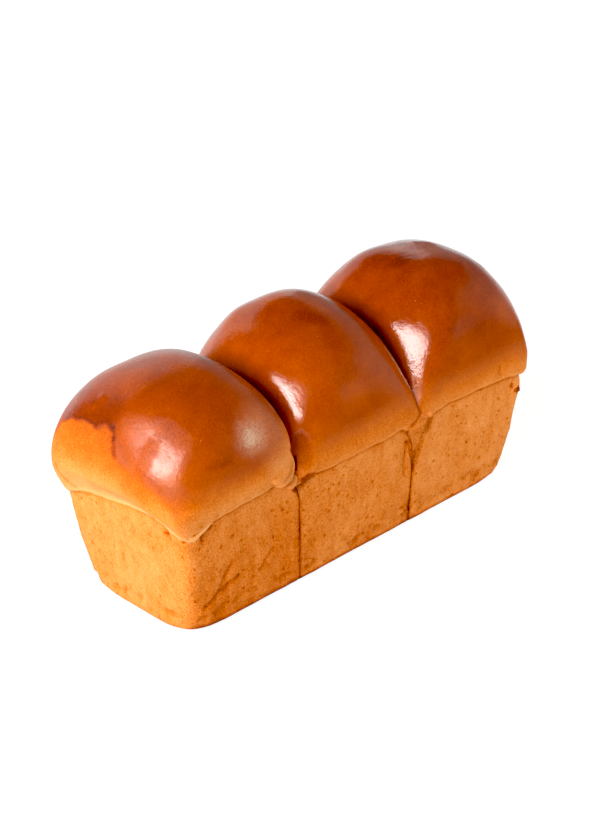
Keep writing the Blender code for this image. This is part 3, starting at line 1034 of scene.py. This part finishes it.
def noise_texture(tree, place, size, detail, rough):
    return add_node(tree, "ShaderNodeTexNoise", {
        "Vector": place, "Scale": 1 / size, "Detail": detail, "Roughness": rough}).outputs


def vector_math(tree, operation, one, other):
    return add_node(tree, "ShaderNodeVectorMath", {0: one, 1: other}, operation=operation).outputs[0]


def crust_patterns(tree, wall, glaze):
    """The patterns of the crust: noises, half above 0 and half below, and spots and crumbs, from 0 to 1."""
    place = add_node(tree, "ShaderNodeTexCoord", {}).outputs["Object"]
    tall = vector_math(tree, "MULTIPLY", place, STREAK_STRETCH)
    patterns = {}
    for name, grain in CLOUDS.items():
        cloud = noise_texture(tree, tall if name == "streaks" else place, *grain)["Fac"]
        patterns[name] = calc(tree, "SUBTRACT", cloud, 0.5)
    crumb = step_between(tree, patterns["crumb"], *CRUMB_RANGE)
    patterns["crumb"] = calc(tree, "MULTIPLY", crumb, wall)
    bend = vector_math(tree, "MULTIPLY", noise_texture(tree, place, *BEND_NOISE)["Color"], BEND)
    bent = vector_math(tree, "ADD", bend, place)
    for name, (size, number, chosen, radii) in SPOTS.items():
        where, part = (place, glaze) if name == "speck" else (bent, wall)
        cells = add_node(tree, "ShaderNodeTexVoronoi", {"Vector": where, "Scale": 1 / size})
        numbers = add_node(tree, "ShaderNodeSeparateColor", {"Color": cells.outputs["Color"]})
        picked = step_between(tree, numbers.outputs[number], *chosen)
        spot = calc(tree, "MULTIPLY", step_between(tree, cells.outputs["Distance"], *radii), picked)
        patterns[name] = calc(tree, "MULTIPLY", spot, part)
    return patterns


def crust_material():
    material = bpy.data.materials.new("glazed_brioche_crust")
    material.use_nodes = True
    tree = material.node_tree
    shader = tree.nodes["Principled BSDF"]
    parts = {"wall": mask(tree, "wall"), "glaze": mask(tree, "glaze")}
    parts["bare"] = calc(tree, "SUBTRACT", 1, parts["glaze"])
    patterns = crust_patterns(tree, parts["wall"], parts["glaze"])
    mottle = patterns["mottle"]
    crease = calc(tree, "MULTIPLY_ADD", mottle, CREASE_MOTTLE, mask(tree, "crease"))
    patterns["crease"] = step_between(tree, crease, *CREASE_SHADE)

    def add_up(total, rows):
        for name, share, *more in rows:
            if more:
                share = calc(tree, "MULTIPLY_ADD", parts[more[1]], more[0], share)
            total = calc(tree, "MULTIPLY_ADD", patterns[name], share, total)
        return total

    ramp = add_node(tree, "ShaderNodeValToRGB", {"Fac": add_up(mask(tree, "bake_and_shade"), PATTERN_BAKE_AND_SHADE)})
    stops = ramp.color_ramp.elements
    while len(stops) < len(BAKE_COLOURS):
        stops.new(0.5)
    for stop, (position, colour) in zip(stops, BAKE_COLOURS):
        stop.position = position
        stop.color = (*colour, 1)
    # The painted reflection, grainy, mixed over the baked colour
    grainy = calc(tree, "MULTIPLY_ADD", patterns["skin"], PAINTED_REFLECTION_GRAIN, 1)
    painted_reflection = calc(tree, "MULTIPLY", mask(tree, "painted_reflection"), grainy, clamp=True)
    # A painted dark line of shade along the creases and gaps
    line = calc(tree, "MULTIPLY", step_between(tree, crease, *CREASE_LINE), CREASE_LINE_SHARE)
    with_painted_reflection = mix_colours(tree, painted_reflection, ramp.outputs["Color"], PAINTED_REFLECTION_COLOUR)

    bareness = calc(tree, "POWER", parts["bare"], BARE_POWER)
    roughness = calc(tree, "MULTIPLY_ADD", bareness, BARE_ROUGHNESS, WASH_ROUGHNESS)
    roughness = calc(tree, "MULTIPLY_ADD", mottle, MOTTLE_ROUGHNESS, roughness)
    washed = step_between(tree, parts["glaze"], *WASH_RANGE)
    sheen = calc(tree, "MULTIPLY_ADD", washed, WASH_SHEEN, BARE_SHEEN)
    hollow = calc(tree, "MAXIMUM", patterns["pit"], patterns["pinprick"])
    sheen = calc(tree, "MULTIPLY_ADD", hollow, PIT_SHEEN, sheen, clamp=True)
    height = add_up(0, PATTERN_HEIGHTS)
    bump = add_node(tree, "ShaderNodeBump", {"Height": height, "Distance": 1, "Strength": 1})
    set_inputs(shader, {
        "Base Color": mix_colours(tree, line, with_painted_reflection, PAINTED_CREASE_SHADE_COLOUR),
        "Roughness": roughness,
        "IOR": CRUST_IOR,
        "Specular IOR Level": sheen,
        "Normal": bump.outputs["Normal"],
    })
    return material


# The camera that the photograph was taken with, worked out from the loaf's own corners
CAMERA_AZIMUTH = -128.9
CAMERA_ELEVATION = 29.1
CAMERA_ROLL = math.radians(-5.0)
CAMERA_DISTANCE = 1.466
CAMERA_LENS = 120
CAMERA_TARGET = Vector((0.002, 0, 0.0615))
SENSOR_HEIGHT = 36


def direction(azimuth, elevation):
    """The direction that many degrees round from +X, and up."""
    azimuth, elevation = math.radians(azimuth), math.radians(elevation)
    return Vector((
        math.cos(azimuth) * math.cos(elevation),
        math.sin(azimuth) * math.cos(elevation),
        math.sin(elevation),
    ))


def add_camera():
    back = direction(CAMERA_AZIMUTH, CAMERA_ELEVATION)
    right = direction(CAMERA_AZIMUTH + 90, 0)
    up = back.cross(right)
    turn = Matrix.Rotation(CAMERA_ROLL, 3, back)
    axes = Matrix((turn @ right, turn @ up, back)).transposed()
    camera = bpy.data.objects.new("camera", bpy.data.cameras.new("camera"))
    camera.data.sensor_fit = "VERTICAL"
    camera.data.sensor_height = SENSOR_HEIGHT
    camera.data.lens = CAMERA_LENS
    camera.matrix_world = Matrix.Translation(CAMERA_TARGET + back * CAMERA_DISTANCE) @ axes.to_4x4()
    SCENE.collection.objects.link(camera)
    bpy.context.scene.camera = camera


# Studio lights: direction from the loaf in degrees round from +X and up, distance, width, height and power,
# and whether they light the crust and whether the glaze mirrors them
LIGHTS = {
    "key": (-172, 31, 1.3, 1.10, 0.52, 28.0, True, False),
    "key_mirrored": (-165, 30, 1.1, 1.24, 0.34, 24.0, False, True),
    "right_card": (-56, 8, 1.0, 0.20, 0.26, 0.09, False, True),
    "right_fill": (-35, 14, 0.75, 0.70, 0.50, 2.6, True, False),
    "backdrop_left": (76, 16, 1.6, 1.92, 1.56, 10.0, True, True),
    "backdrop_right": (2, 16, 1.6, 2.98, 1.56, 6.0, True, True),
}
LIGHT_TARGET = Vector((0, 0, 0.08))
WORLD_STRENGTH = 0.04
FLOOR_SIZE = 8
FLOOR_GLOW = 0.92
FLOOR_SHADE = 0.16
FLOOR_ROUGHNESS = 0.8
FLOOR_GAP = 0.0002
BLACK_LEVEL = 0.018


def add_lights():
    for name, (azimuth, elevation, distance, width, height, power, lighting, mirrored) in LIGHTS.items():
        light = bpy.data.lights.new(name, "AREA")
        light.shape = "RECTANGLE"
        light.size = width
        light.size_y = height
        light.energy = power
        way = direction(azimuth, elevation)
        lamp = bpy.data.objects.new(name, light)
        lamp.location = LIGHT_TARGET + way * distance
        lamp.rotation_euler = way.to_track_quat("Z", "Y").to_euler()
        lamp.visible_camera = False
        lamp.visible_diffuse = lighting
        lamp.visible_glossy = mirrored
        SCENE.collection.objects.link(lamp)
    world = bpy.data.worlds.new("studio")
    world.use_nodes = True
    set_inputs(world.node_tree.nodes["Background"], {"Color": (1, 1, 1, 1), "Strength": WORLD_STRENGTH})
    SCENE.world = world


def add_floor():
    """A white table in two halves. The glaze mirrors the half behind the loaf, and not the one before it."""
    material = bpy.data.materials.new("white_table")
    material.use_nodes = True
    shader = material.node_tree.nodes["Principled BSDF"]
    set_inputs(shader, {
        "Base Color": (FLOOR_SHADE, FLOOR_SHADE, FLOOR_SHADE, 1),
        "Roughness": FLOOR_ROUGHNESS,
        "Emission Color": (1, 1, 1, 1),
        "Emission Strength": FLOOR_GLOW,
    })
    half = FLOOR_SIZE / 2
    for name, low, high, mirrored in (("table_front", -half, 0, False), ("table_behind", 0, half, True)):
        corners = np.array([(-half, low, 0), (half, low, 0), (half, high, 0), (-half, high, 0)])
        table = new_object(name, corners - (0, 0, FLOOR_GAP), [(0, 1, 2, 3)])
        table.data.materials.append(material)
        table.visible_glossy = mirrored


def main():
    add_camera()
    add_lights()
    add_floor()
    loaf = build_loaf()
    loaf.data.materials.clear()
    loaf.data.materials.append(crust_material())
    loaf.data.shade_smooth()
    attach(loaf, "root")
    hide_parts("loaf")
    view = SCENE.view_settings
    view.view_transform = "Standard"
    view.use_curve_mapping = True
    view.curve_mapping.black_level = (BLACK_LEVEL,) * 3
    view.curve_mapping.update()


main()
